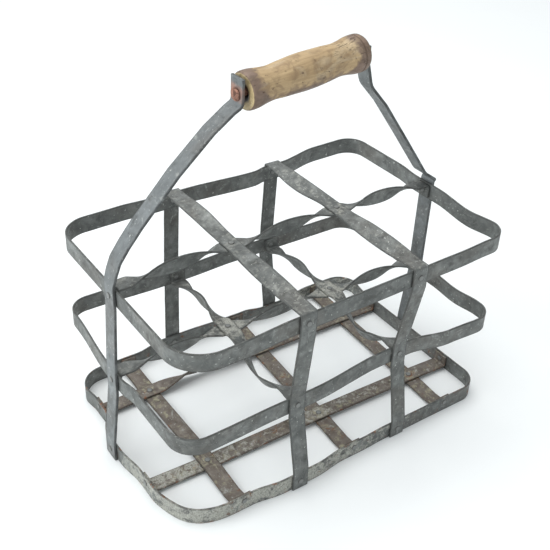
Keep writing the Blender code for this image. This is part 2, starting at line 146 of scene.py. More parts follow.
# Where the uprights cross each hoop along the long sides, and the end straps along the short ones.
FRONT_X = {
    "left": {"bottom": -0.0528, "middle": -0.0548, "top": -0.0525},
    "right": {"bottom": 0.0535, "middle": 0.0537, "top": 0.0540},
}
BACK_X = {
    "left": {"bottom": -0.0518, "middle": -0.0512, "top": -0.0488},
    "right": {"bottom": 0.0565, "middle": 0.0555, "top": 0.0550},
}
END_Y = {
    "left": {"bottom": 0.0035, "middle": -0.0010, "top": 0.0020},
    "right": {"bottom": 0.0035, "middle": 0.0, "top": -0.0010},
}
STRAP_WIDTH = 0.0145
END_WIDTH = 0.0155
CROSSING_Y = 0.0020

# The two spans of each top divider, front then back: how far each is twisted, in degrees, and how
# far its middle is bowed along X and raised.
TOP_SPANS = {
    "left": ((-36, 0.0, 0.0), (-14, 0.0, 0.0015)),
    "right": ((-36, 0.0, 0.0), (-26, -0.0020, 0.0)),
}

# The two spans of each divider across at the middle hoop, front then back, likewise. Their back
# tabs stand beside the uprights by TAB_SHIFT.
MIDDLE_SPANS = {
    "left": ((58, -0.0030, -0.0150), (78, 0.0020, 0.0)),
    "right": ((58, -0.0030, -0.0140), (78, 0.0020, 0.0)),
}
TAB_SHIFT = 0.0045

# Floor: three straps across as the place of their front and back ends, and two along as the
# place of their left and right ends.
FLOOR_X = {"left": (-0.1033, -0.1033), "centre": (0.0060, 0.0175), "right": (0.1100, 0.1180)}
FLOOR_Y = {"front": (-0.0475, -0.0555), "back": (0.0530, 0.0510)}
FLOOR_Z = 0.0030
FLOOR_RIVET_Z = 0.0095
PLY = STEEL + GAP

# Folds and bends of the straps, how far a strap runs straight past each edge of a hoop, and where a
# divider's tab ends below and above the middle of the hoop.
FOLD = 0.0022
RIM_FOLD = 0.0015
ARM_BEND = 0.014
FOLD_STEPS = 4
PAST_EDGE = 0.003
FOOT_Z = 0.0002
TAB_ENDS = (-0.0057, 0.0058)
DENT_FADE = 0.032

# The longest step along each kind of strap.
HOOP_STEP = 0.0125
FRAME_STEP = 0.012
ARM_STEP = 0.03
PLAIN_STEP = 0.022
TWISTED_STEP = 0.0062
CROSS_STEP = 0.0058

# Handle: each arm as (distance from the middle, height) of its outside face, then the plate at
# its top, whose middle is drawn out of line as the bail is slightly sprung.
ARM_PATH = {
    "left": (
        (0.1550, 0.1800),
        (0.1515, 0.1900),
        (0.1440, 0.2015),
        (0.1335, 0.2155),
        (0.1185, 0.2330),
        (0.1040, 0.2505),
        (0.0765, 0.2785),
        (0.0603, 0.2912),
    ),
    "right": ((0.1590, 0.1780), (0.1455, 0.1875), (0.1155, 0.2290), (0.0905, 0.2630), (0.0735, 0.2820)),
}
PLATE_X = {"left": 0.0548, "right": 0.0684}
PLATE_Y = {"left": -0.0085, "right": 0.0012}
AXIS_Z = {"left": 0.3024, "right": 0.3099}
PLATE_RISE = {"left": 0.0125, "right": 0.0058}
GRIP_HALF = 0.0562
GRIP_BORE = 0.0036
GRIP_MOUTH = 0.0068
# Where the dark ring on the grip, painted shade of a turned groove, lies along its axis.
GROOVE_X = 0.0505
GRIP_PROFILE = (
    (-GRIP_HALF, 0.0134),
    (-0.0542, 0.0144),
    (-0.0482, 0.0144),
    (-0.0395, 0.0131),
    (-0.0315, 0.0126),
    (-0.0195, 0.0135),
    (0.0, 0.0142),
    (0.0195, 0.0135),
    (0.0300, 0.0128),
    (0.0385, 0.0134),
    (0.0465, 0.0147),
    (0.0540, 0.0148),
    (GRIP_HALF, 0.0140),
)
ROD_RADIUS = 0.0032
ROD_HEAD = 0.0052
ROD_RISE = 0.0016
ROD_SIDES = 40
GRIP_SIDES = 96

HEAD = 0.0031
HEAD_RISE = 0.0012
RIVET_SIDES = 24

# Every place above is measured from the middle of the rim. The origin lies on the ground under the
# middle of the whole outline, which the dented hoops draw out to the left and the front.
OUTLINE_SHIFT = Vector((0.0037, 0.0019, 0.0))

# What the finished pieces add to the solids: finer steps along the straps by the share FINER, rolled
# edges, the band beside each edge that wears dark, hand-cut unevenness, and rivet heads hammered
# low, as shares of the solid head's radius and rise.
FINER = 0.30
EDGE_ROUND = 0.00042
EDGE_BAND = 0.0013
EDGE_TRIM = 0.00012
WIDTH_WANDER = 0.00022
WANDER_RATE = 70
RIVET_WOBBLE = 0.00018
ROD_WOBBLE = 0.0003
GRIP_WOBBLE = 0.00035
WOBBLE_RATE = 45
LOW_HEAD = 0.80
LOW_RISE = 0.40
SHARP_ANGLE = math.radians(50)

# Each finish by the start of the names of the nodes that wear it.
SLOTS = (
    ("end_strap_", "arm_steel"),
    ("floor_", "floor_steel"),
    ("rivet_", "rivet_steel"),
    ("handle_rod", "rod_steel"),
    ("grip", "grip_wood"),
    ("", "strap_steel"),
)
ZINC_METALLIC = 0.62
FLOOR_REACH = 30.0
CAMERA_PLACE = Vector((-0.37516, -0.50744, 0.54823)) + OUTLINE_SHIFT

rivet_places = []
looks = []


def eased(knots, place):
    """A value that moves smoothly from knot to knot and is level at each of them."""
    if place <= knots[0][0]:
        return knots[0][1]
    for (a, first), (b, second) in zip(knots, knots[1:]):
        if place <= b:
            part = (place - a) / (b - a)
            return first + (second - first) * part * part * (3 - 2 * part)
    return knots[-1][1]


def side_face(hoop, side, place):
    """How far the outside face of a hoop stands from the middle on one side."""
    return hoop["sides"][side] + eased(hoop["dents"][side], place)


def upper_edge(hoop, x):
    """Height of a hoop's upper edge, which rises or falls a little along X."""
    return hoop["upper"] + hoop["rise"] * x


def rivet_height(hoop, x):
    """Half-way down the hoop's strap."""
    return upper_edge(hoop, x) - HOOP_WIDTH / 2


def bent(corners, radius, steps=12):
    """A line through the corners, with each inner corner turned at the given radius."""
    points = [Vector(corners[0])]
    for before, here, after in zip(corners, corners[1:], corners[2:]):
        here = Vector(here)
        back = Vector(before) - here
        on = Vector(after) - here
        turn = math.pi - back.angle(on)
        if turn < math.radians(4):
            points.append(here)
            continue
        reach = min(radius * math.tan(turn / 2), 0.45 * back.length, 0.45 * on.length)
        start = here + back.normalized() * reach
        end = here + on.normalized() * reach
        count = max(2, round(steps * turn / (math.pi / 2)))
        for i in range(count + 1):
            part = i / count
            points.append(start.lerp(here, part).lerp(here.lerp(end, part), part))
    points.append(Vector(corners[-1]))
    return points


def dress(made, node):
    """Put a finished piece in the place of its solid."""
    slot = next(slot for start, slot in SLOTS if node.startswith(start))
    made.data.materials.append(finishes[slot])
    made.location += OUTLINE_SHIFT
    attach(made, "grip" if node == "grip" else "carrier")
    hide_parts(node)
    looks.append(made)


def add(name, data):
    """A new object in the scene."""
    made = bpy.data.objects.new(name, data)
    bpy.context.scene.collection.objects.link(made)
    return made


def mesh_object(name, points, faces):
    """A smooth-shaded mesh that keeps its sharp edges."""
    mesh = bpy.data.meshes.new(name)
    mesh.from_pydata([tuple(p) for p in points], [], faces)
    mesh.polygons.foreach_set("use_smooth", [True] * len(mesh.polygons))
    mesh.update()
    mesh.set_sharp_from_angle(angle=SHARP_ANGLE)
    return add(name, mesh)


def give(mesh, name, values):
    """Store one number for each point, or one vector."""
    values = np.asarray(values, np.float32)
    kind, field = ("FLOAT", "value") if values.ndim == 1 else ("FLOAT_VECTOR", "vector")
    mesh.attributes.new(name, kind, "POINT").data.foreach_set(field, values.ravel())


def divided(points, longest):
    """The same line in steps shorter than the longest one given, times FINER."""
    finer = [points[0]]
    for here, after in zip(points, points[1:]):
        count = max(1, math.ceil((after - here).length / (longest * FINER) - 0.01))
        for i in range(1, count + 1):
            finer.append(here.lerp(after, i / count))
    return finer


def section(half_width, half_thick):
    """Rounded outline of the strap's section as (u, v, edge), counter-clockwise."""
    outline = []
    for su, sv, start in ((1, -1, -90), (1, 1, 0), (-1, 1, 90), (-1, -1, 180)):
        cu = su * (half_width - EDGE_ROUND)
        cv = sv * (half_thick - EDGE_ROUND)
        arc = []
        for step in range(4):
            angle = math.radians(start + 30 * step)
            arc.append((cu + EDGE_ROUND * math.cos(angle), cv + EDGE_ROUND * math.sin(angle), 1.0))
        inner = (su * (half_width - EDGE_BAND), sv * half_thick, 0.0)
        outline += [inner, *arc] if su == -sv else [*arc, inner]
    return outline


def skin(count, ring, closed, flipped=False):
    """Faces over `count` rings of `ring` points each, with both ends capped unless they meet."""
    faces = []
    for i in range(count if closed else count - 1):
        here = ring * i
        after = ring * ((i + 1) % count)
        for k in range(ring):
            m = (k + 1) % ring
            if flipped:
                faces.append((here + k, after + k, after + m, here + m))
            else:
                faces.append((here + k, here + m, after + m, after + k))
    if not closed:
        last = ring * (count - 1)
        faces.append(tuple(reversed(range(ring))))
        faces.append(tuple(last + k for k in range(ring)))
    return faces


def strap(name, points, width, thick, across, twist=None, closed=False):
    """Flat strap along a line. `across` is the way its width lies before any twist."""
    count = len(points)
    # A number of the strap's own, so that no two straps have the same marks.
    seed = sum(ord(c) * (i + 1) for i, c in enumerate(name)) % 97
    outline = section(width / 2, thick / 2)
    ring = len(outline)
    corners = []
    edges = []
    places = []
    travelled = 0.0
    for i, point in enumerate(points):
        before = points[i - 1] if i or closed else point
        after = points[(i + 1) % count] if i < count - 1 or closed else point
        along = (after - before).normalized()
        face = along.cross(Vector(across)).normalized()
        side = face.cross(along).normalized()
        if twist:
            angle = math.radians(twist(point))
            side, face = (
                side * math.cos(angle) + face * math.sin(angle),
                face * math.cos(angle) - side * math.sin(angle),
            )
        travelled += (point - before).length if i else 0.0
        wander = [
            WIDTH_WANDER * noise.noise(point * WANDER_RATE + Vector((seed, k * 9.0, 0))) for k in (0, 1)
        ]
        for u, v, edge in outline:
            push = wander[u > 0] * abs(u) / (width / 2)
            corners.append(point + side * (u + math.copysign(push, u) - EDGE_TRIM) + face * v)
            edges.append(edge)
            places.append((travelled, u, seed * 0.61 + (0.3 if v > 0 else 0.0)))
    made = mesh_object("look_" + name, corners, skin(count, ring, closed))
    give(made.data, "edge", edges)
    give(made.data, "strap_place", places)
    give(made.data, "seed", [seed * 0.37] * len(corners))
    dress(made, name)


def turned(name, centre, along, rings, sides, closed=False, wobble=0.0):
    """Round piece about its own X axis: rings of (distance along the axis, radius)."""
    points = []
    for distance, radius in rings:
        for k in range(sides):
            angle = 2 * math.pi * (k + 0.5) / sides
            spot = Vector((distance, radius * math.cos(angle), radius * math.sin(angle)))
            out = Vector((0, math.cos(angle), math.sin(angle)))
            lump = noise.noise(Vector((distance * WOBBLE_RATE, *(out.yz * 1.3))))
            points.append(spot + out * wobble * lump)
    made = mesh_object("look_" + name, points, skin(len(rings), sides, closed, flipped=True))
    made.rotation_mode = "QUATERNION"
    made.rotation_quaternion = Vector(along).to_track_quat("X", "Z")
    made.location = centre
    dress(made, name)


def dome(start, radius, rise, steps, fullness, tip):
    """Rings of a rounded head that rises from `start` and ends flat at the share `tip` of its radius."""
    rings = []
    for step in range(steps + 1):
        angle = math.radians(90 * step / steps)
        rings.append((start + rise * math.sin(angle), radius * max(tip, math.cos(angle) ** fullness)))
    return rings


def rivet(name, middle, outwards, thickness):
    """Two-headed rivet through a stack of straps: low hammered domes."""
    half = thickness / 2 + GAP
    radius = HEAD * LOW_HEAD
    rings = [(half - GAP * 2, radius * 0.97), *dome(half, radius, HEAD_RISE * LOW_RISE, 6, 0.8, 0.04)]
    rings = [(-d, r) for d, r in reversed(rings)] + rings
    turned(name, middle, outwards, rings, RIVET_SIDES, wobble=RIVET_WOBBLE)
    rivet_places.append(Vector(middle))


def hoop_line(hoop):
    """The middle of the strap all the way round a hoop, dents included."""
    inset = STEEL / 2
    west, east, south, north = (hoop["sides"][s] - inset for s in ("left", "right", "front", "back"))
    corners = (
        ("front_right", east, -south, -90),
        ("back_right", east, north, 0),
        ("back_left", -west, north, 90),
        ("front_left", -west, -south, 180),
    )
    ring = []
    for name, x, y, start in corners:
        radius = hoop["radii"][name]
        cx = x - math.copysign(radius, x)
        cy = y - math.copysign(radius, y)
        for i in range(CORNER_STEPS + 1):
            angle = math.radians(start + 90 * i / CORNER_STEPS)
            ring.append(Vector((cx + radius * math.cos(angle), cy + radius * math.sin(angle), 0)))
    ring = divided(ring + [ring[0]], HOOP_STEP)[:-1]
    for point in ring:
        x, y = point.x, point.y
        end, way = ("right", 1) if x > 0 else ("left", -1)
        reach = min(1.0, abs(x) / (hoop["sides"][end] - DENT_FADE))
        point.x += way * eased(hoop["dents"][end], y) * reach * reach
        side, way = ("back", 1) if y > 0 else ("front", -1)
        reach = min(1.0, abs(y) / (hoop["sides"][side] - DENT_FADE))
        point.y += way * eased(hoop["dents"][side], x) * reach * reach
        point.z = rivet_height(hoop, point.x)
    return ring


def upright_corners(end, front):
    """A long-side upright from the ground to the rim, level with each hoop where they touch."""
    side = "front" if front else "back"
    sign = -1 if front else 1
    corners = []
    for level, hoop in HOOPS.items():
        x = (FRONT_X if front else BACK_X)[end][level]
        y = sign * (side_face(hoop, side, x) + GAP + STEEL / 2)
        top = upper_edge(hoop, x)
        corners.append(Vector((x, y, max(FOOT_Z, top - HOOP_WIDTH - PAST_EDGE))))
        past = PAST_EDGE if level != "top" else GAP + 0.0002 + STEEL / 2
        corners.append(Vector((x, y, top + past)))
    return corners


def cross_frame(end):
    """Front upright, top divider and back upright in one strap, folded over both rims."""
    front = upright_corners(end, True)
    back = upright_corners(end, False)
    line = divided(bent(front + back[::-1], RIM_FOLD, FOLD_STEPS), FRAME_STEP)
    height = front[-1].z
    spans = ((front[-1].y + 0.004, CROSSING_Y - FLAT), (CROSSING_Y + FLAT, back[-1].y - 0.004))

    def wave(point, share):
        """The shape of one value of TOP_SPANS along the divider: none at the rims and the crossing."""
        if point.z > height - 0.002:
            for values, (a, b) in zip(TOP_SPANS[end], spans):
                if a < point.y < b:
                    return values[share] * math.sin(math.pi * (point.y - a) / (b - a)) ** 2
        return 0.0

    moves = [Vector((wave(point, 1), 0, wave(point, 2))) for point in line]
    line = [point + move for point, move in zip(line, moves)]

    strap("cross_frame_" + end, line, STRAP_WIDTH, STEEL, (1, 0, 0), lambda point: wave(point, 0))
    for side, sign, xs in (("front", -1, FRONT_X), ("back", 1, BACK_X)):
        for level, hoop in HOOPS.items():
            x = xs[end][level]
            inner = 0.0
            if level == "middle":
                inner = PLY
                x += TAB_SHIFT / 2 if side == "back" else 0.0
            thickness = STEEL + PLY + inner
            outside = side_face(hoop, side, x) + PLY
            centre = (x, sign * (outside - thickness / 2), rivet_height(hoop, x))
            rivet(f"rivet_{level}_{side}_{end}", centre, (0, sign, 0), thickness)


def end_strap(end):
    """End upright that carries on over the rim as one arm of the handle."""
    sign = -1 if end == "left" else 1
    half = ARM_STEEL / 2
    corners = []
    for level, hoop in HOOPS.items():
        y = END_Y[end][level]
        x = side_face(hoop, end, y) + GAP + half
        top = upper_edge(hoop, sign * x)
        corners.append(Vector((sign * x, y, max(FOOT_Z, top - HOOP_WIDTH - PAST_EDGE))))
        corners.append(Vector((sign * x, y, top + 0.002)))
    foot = corners[-1].z
    for x, z in ARM_PATH[end]:
        drift = min(1.0, (z - foot) / (AXIS_Z[end] - foot)) ** 1.5
        corners.append(Vector((sign * (x - half), y + (PLATE_Y[end] - y) * drift, z)))
    x = sign * (PLATE_X[end] - half)
    corners.append(Vector((x, PLATE_Y[end], AXIS_Z[end] - 0.0072)))
    corners.append(Vector((x, PLATE_Y[end], AXIS_Z[end] + PLATE_RISE[end])))
    line = divided(bent(corners, ARM_BEND, 6), ARM_STEP)
    strap("end_strap_" + end, line, END_WIDTH, ARM_STEEL, (0, 1, 0))
    for level, hoop in HOOPS.items():
        inner = 0.0 if level == "bottom" else PLY
        thickness = ARM_STEEL + PLY + inner
        y = END_Y[end][level]
        outside = side_face(hoop, end, y) + GAP + ARM_STEEL
        x = sign * (outside - thickness / 2)
        centre = (x, y, rivet_height(hoop, x))
        rivet(f"rivet_{level}_end_{end}", centre, (sign, 0, 0), thickness)


def tab(point, hoop, first, way=1):
    """The two corners of a divider's end inside a hoop: turned down, or up where way is -1."""
    middle = rivet_height(hoop, point.x)
    pair = [point + Vector((0, 0, middle + way * rise)) for rise in TAB_ENDS]
    return pair if first else pair[::-1]


def crossing_x(end, level):
    """Where a divider across meets the long divider of its level."""
    return 0.49 * FRONT_X[end][level] + 0.51 * BACK_X[end][level]


def long_divider(level, hoop, turn):
    """Divider along the carrier: tabs riveted inside the hoop, flat at both crossings."""
    near, far = (END_Y[end][level] for end in ("left", "right"))
    left = Vector((-side_face(hoop, "left", near) + PLY + STEEL / 2, near, 0))
    right = Vector((side_face(hoop, "right", far) - PLY - STEEL / 2, far, 0))
    runs = []
    crossings = []
    for end in ("left", "right"):
        x = crossing_x(end, level)
        height = upper_edge(hoop, x) - STEEL / 2 - PLY
        if level == "top":
            height += PLY + GAP + 0.0001
        crossings.append(Vector((x, CROSSING_Y, height)))
        runs.append(crossings[-1] - Vector((FLAT, 0, 0)))
        runs.append(crossings[-1] + Vector((FLAT, 0, 0)))
    corners = tab(left, hoop, True) + runs + tab(right, hoop, False)
    line = divided(bent(corners, FOLD, FOLD_STEPS), TWISTED_STEP)
    stops = [left.x + 0.012, crossings[0].x - FLAT, crossings[0].x + FLAT]
    stops += [crossings[1].x - FLAT, crossings[1].x + FLAT, right.x - 0.012]

    def twist(point):
        for a, b in zip(stops[::2], stops[1::2]):
            if a < point.x < b:
                return -turn * math.sin(math.pi * (point.x - a) / (b - a))
        return 0.0

    strap(level + "_long_divider", line, STRAP_WIDTH, STEEL, (0, 1, 0), twist)
    for end, point in zip(("left", "right"), crossings):
        rivet(f"rivet_{level}_crossing_{end}", point + Vector((0, 0, PLY / 2)), (0, 0, 1), STEEL + PLY)


def middle_cross(end):
    """Divider across at the middle hoop: its front tab is turned down and its back tab up."""
    x = FRONT_X[end]["middle"]
    front = Vector((x, -side_face(MIDDLE, "front", x) + PLY + STEEL / 2, 0))
    x = BACK_X[end]["middle"] + TAB_SHIFT
    back = Vector((x, side_face(MIDDLE, "back", x) - PLY - STEEL / 2, 0))
    x = crossing_x(end, "middle")
    centre = Vector((x, CROSSING_Y, upper_edge(MIDDLE, x) - STEEL / 2))
    runs = [centre - Vector((0, FLAT, 0)), centre + Vector((0, FLAT, 0))]
    corners = tab(front, MIDDLE, True) + runs + tab(back, MIDDLE, False, -1)
    line = divided(bent(corners, FOLD, FOLD_STEPS), CROSS_STEP)
    spans = ((front.y + 0.004, centre.y - FLAT), (centre.y + FLAT, back.y - 0.008))

    def wave(point, share, power):
        """The shape of one value of MIDDLE_SPANS along the divider: none at its tabs and crossing."""
        for values, (a, b) in zip(MIDDLE_SPANS[end], spans):
            if a < point.y < b:
                return values[share] * math.sin(math.pi * (point.y - a) / (b - a)) ** power
        return 0.0

    moves = [Vector((wave(point, 1, 2), 0, wave(point, 2, 2))) for point in line]
    line = [point + move for point, move in zip(line, moves)]
    strap(
        "middle_cross_" + end, line, STRAP_WIDTH, STEEL, (1, 0, 0), lambda point: wave(point, 0, 1)
    )


def floor_line(near, far, runs, longest):
    """A floor strap's line, turned up inside the bottom hoop at both ends."""
    rise = Vector((0, 0, BOTTOM["upper"] - 0.0012))
    low = Vector((0, 0, FLOOR_Z + 0.0008))
    corners = [near + rise, near + low, *(Vector(p) for p in runs), far + low, far + rise]
    return divided(bent(corners, FOLD, FOLD_STEPS), longest)


def floor_rivets(tag, ends):
    """The rivets that hold a floor strap's two ends to the bottom hoop."""
    for label, point, outwards in ends:
        centre = point + Vector(outwards) * (PLY / 2)
        centre.z = FLOOR_RIVET_Z
        rivet(f"rivet_floor_{tag}_{label}", centre, outwards, STEEL + PLY)


def floor_x(place, y):
    """Where a floor strap across lies, as not all of them are quite square to the hoop."""
    front, back = FLOOR_X[place]
    return front + (back - front) * (y + BOTTOM["sides"]["front"]) / (2 * BOTTOM["sides"]["front"])


def floor_y(row, x):
    """Where a lengthwise floor strap lies, as neither of them is quite square to the hoop."""
    left, right = FLOOR_Y[row]
    return left + (right - left) * (x + BOTTOM["sides"]["left"]) / (2 * BOTTOM["sides"]["left"])


def floor_crossing(place, row):
    """Where a floor strap across meets one along, on the ground."""
    x = sum(FLOOR_X[place]) / 2
    y = floor_y(row, x)
    return Vector((floor_x(place, y), y, 0))


def floor_cross(place):
    """Floor strap across, dropped a little at its front end."""
    front, back = FLOOR_X[place]
    inside = PLY + STEEL / 2
    near = Vector((front, -side_face(BOTTOM, "front", front) + inside, 0))
    far = Vector((back, side_face(BOTTOM, "back", back) - inside, 0))
    y = near.y + 0.016
    runs = [(floor_x(place, y), y, FLOOR_Z - 0.0010)]
    for row in FLOOR_Y:
        y = floor_crossing(place, row).y
        lift = PLY if (place, row) == ("left", "front") else 0.0
        runs.append((floor_x(place, y - FLAT), y - FLAT, FLOOR_Z + lift))
        runs.append((floor_x(place, y + FLAT), y + FLAT, FLOOR_Z + lift))
    line = floor_line(near, far, runs, PLAIN_STEP)
    strap("floor_cross_" + place, line, STRAP_WIDTH, STEEL, (1, 0, 0))
    floor_rivets(place, (("front", near, (0, -1, 0)), ("back", far, (0, 1, 0))))


def floor_long(row, turn):
    """Floor strap along, twisted by `turn` degrees and bowed up between its left two crossings."""
    inside = PLY + STEEL / 2
    left, right = FLOOR_Y[row]
    near = Vector((-side_face(BOTTOM, "left", left) + inside, left, 0))
    far = Vector((side_face(BOTTOM, "right", right) - inside, right, 0))
    runs = []
    crossings = {place: floor_crossing(place, row) for place in FLOOR_X}
    for place, point in crossings.items():
        lift = 0.0 if (place, row) == ("left", "front") else PLY
        for x in (point.x - FLAT, point.x + FLAT):
            runs.append((x, floor_y(row, x), FLOOR_Z + lift))
    line = floor_line(near, far, runs, TWISTED_STEP if turn else PLAIN_STEP)
    start = crossings["left"].x + FLAT
    end = crossings["centre"].x - FLAT

    def wave(x):
        return math.sin(math.pi * (x - start) / (end - start)) if start < x < end else 0.0

    if turn:
        for point in line:
            point.z += 0.0045 * wave(point.x)
    strap("floor_long_" + row, line, STRAP_WIDTH, STEEL, (0, 1, 0), lambda p: -turn * wave(p.x) ** 1.5)
    floor_rivets(row, (("left", near, (-1, 0, 0)), ("right", far, (1, 0, 0))))
    for place, point in crossings.items():
        centre = point + Vector((0, 0, FLOOR_Z + PLY / 2))
        rivet(f"rivet_floor_crossing_{place}_{row}", centre, (0, 0, 1), STEEL + PLY)


def smooth_profile(knots, steps):
    """The knots joined by a smooth curve, as (distance, radius)."""
    points = []
    ends = [knots[0], *knots, knots[-1]]
    for a, b, c, d in zip(ends, ends[1:], ends[2:], ends[3:]):
        for i in range(steps):
            t = i / steps
            spot = []
            for k in (0, 1):
                bend = (-a[k] + 3 * b[k] - 3 * c[k] + d[k]) * t ** 3
                bend += (2 * a[k] - 5 * b[k] + 4 * c[k] - d[k]) * t * t
                spot.append(0.5 * (2 * b[k] + (c[k] - a[k]) * t + bend))
            points.append(tuple(spot))
    points.append(tuple(knots[-1]))
    return points


def handle():
    """Grip turned about the rod, which is headed over outside each arm."""
    left = Vector((-PLATE_X["left"], PLATE_Y["left"], AXIS_Z["left"]))
    right = Vector((PLATE_X["right"], PLATE_Y["right"], AXIS_Z["right"]))
    along = (right - left).normalized()
    centre = (left + right) / 2
    half = (right - left).length / 2 + 0.0008
    shank = [(half * step / 6, ROD_RADIUS) for step in range(7)]
    rings = [*shank, *dome(half, ROD_HEAD, ROD_RISE, 8, 0.7, 0.03)]
    rings = [(-d, r) for d, r in reversed(rings)] + rings[1:]
    turned("handle_rod", centre, along, rings, ROD_SIDES, wobble=ROD_WOBBLE)
    outer = smooth_profile(GRIP_PROFILE, 7)
    outer = [(-GRIP_HALF, outer[0][1] - 0.0012), *outer, (GRIP_HALF, outer[-1][1] - 0.0012)]
    inner = [(GRIP_HALF, r) for r in (0.0110, 0.0090)]
    for i in range(6):
        depth = i / 5
        inner.append((GRIP_HALF - 0.004 * depth, GRIP_MOUTH - (GRIP_MOUTH - GRIP_BORE) * depth ** 0.6))
    inner += [(-d, r) for d, r in reversed(inner)]
    turned("grip", centre, along, outer + inner, GRIP_SIDES, closed=True, wobble=GRIP_WOBBLE)


class Shader:
    """Builds one material's nodes, with the Principled shader at the end."""

    def __init__(self, name):
        self.material = bpy.data.materials.new(name)
        self.material.use_nodes = True
        self.tree = self.material.node_tree
        self.end = self.tree.nodes["Principled BSDF"]
        self.position = self.node("ShaderNodeTexCoord").outputs["Object"]

    def node(self, kind, **inputs):
        made = self.tree.nodes.new(kind)
        for name, value in inputs.items():
            self.put(made.inputs[name], value)
        return made

    def split(self, vector, axis):
        return self.node("ShaderNodeSeparateXYZ", Vector=vector).outputs[axis]

    def put(self, socket, value):
        if isinstance(value, bpy.types.NodeSocket):
            self.tree.links.new(value, socket)
        elif isinstance(value, tuple) and len(value) == 3 and socket.type == "RGBA":
            socket.default_value = (*value, 1.0)
        else:
            socket.default_value = value

    def attribute(self, name, vector=False):
        made = self.tree.nodes.new("ShaderNodeAttribute")
        made.attribute_name = name
        return made.outputs["Vector" if vector else "Fac"]

    def stretched(self, vector, scale):
        """Coordinates scaled along each axis, for marks longer one way than another."""
        return self.node("ShaderNodeMapping", Vector=vector, Scale=scale).outputs["Vector"]

    def noise(self, vector, scale, detail=4.0, rough=0.55, warp=0.0, seed=None):
        values = {"Vector": vector, "Scale": scale, "Detail": detail, "Roughness": rough, "Distortion": warp}
        made = self.node("ShaderNodeTexNoise", **values)
        if seed is not None:
            made.noise_dimensions = "4D"
            self.put(made.inputs["W"], seed)
        return made.outputs["Fac"]

    def cells(self, vector, scale):
        """One random colour for each of the small cells that space is cut into."""
        return self.node("ShaderNodeTexVoronoi", Vector=vector, Scale=scale).outputs["Color"]

    def ramp(self, value, low, high, start=0.0, end=1.0):
        """value from low to high becomes start to end, eased."""
        limits = {"From Min": low, "From Max": high, "To Min": start, "To Max": end}
        made = self.node("ShaderNodeMapRange", Value=value, **limits)
        made.interpolation_type = "SMOOTHSTEP"
        return made.outputs["Result"]

    def math(self, operation, *values):
        """The operation on the first two values, then on its result and each further one."""
        total = values[0]
        for value in values[1:] or (0.0,):
            made = self.tree.nodes.new("ShaderNodeMath")
            made.operation = operation
            self.put(made.inputs[0], total)
            self.put(made.inputs[1], value)
            total = made.outputs[0]
        return total

    def times(self, *values):
        return self.math("MULTIPLY", *values)

    def plus(self, *values):
        return self.math("ADD", *values)

    def most(self, *values):
        return self.math("MAXIMUM", *values)

    def wander(self, value, amount):
        """How far a noise value is from its middle, times the amount."""
        return self.times(self.math("SUBTRACT", value, 0.5), amount)

    def mix(self, factor, a, b, blend="MIX"):
        made = self.tree.nodes.new("ShaderNodeMix")
        made.data_type = "RGBA"
        made.blend_type = blend
        self.put(made.inputs[0], factor)
        self.put(made.inputs[6], a)
        self.put(made.inputs[7], b)
        return made.outputs[2]

    def blend(self, factor, a, b):
        """Like mix, for plain numbers."""
        made = self.tree.nodes.new("ShaderNodeMix")
        self.put(made.inputs[0], factor)
        self.put(made.inputs[2], a)
        self.put(made.inputs[3], b)
        return made.outputs[0]

    def bump(self, height, distance, strength, under=None):
        made = self.node("ShaderNodeBump", Height=height, Distance=distance, Strength=strength)
        if under is not None:
            self.tree.links.new(under, made.inputs["Normal"])
        return made.outputs["Normal"]

    def finish(self, colour, rough, metal, normal):
        self.put(self.end.inputs["Base Color"], colour)
        self.put(self.end.inputs["Roughness"], rough)
        self.put(self.end.inputs["Metallic"], metal)
        self.put(self.end.inputs["Normal"], normal)
        return self.material


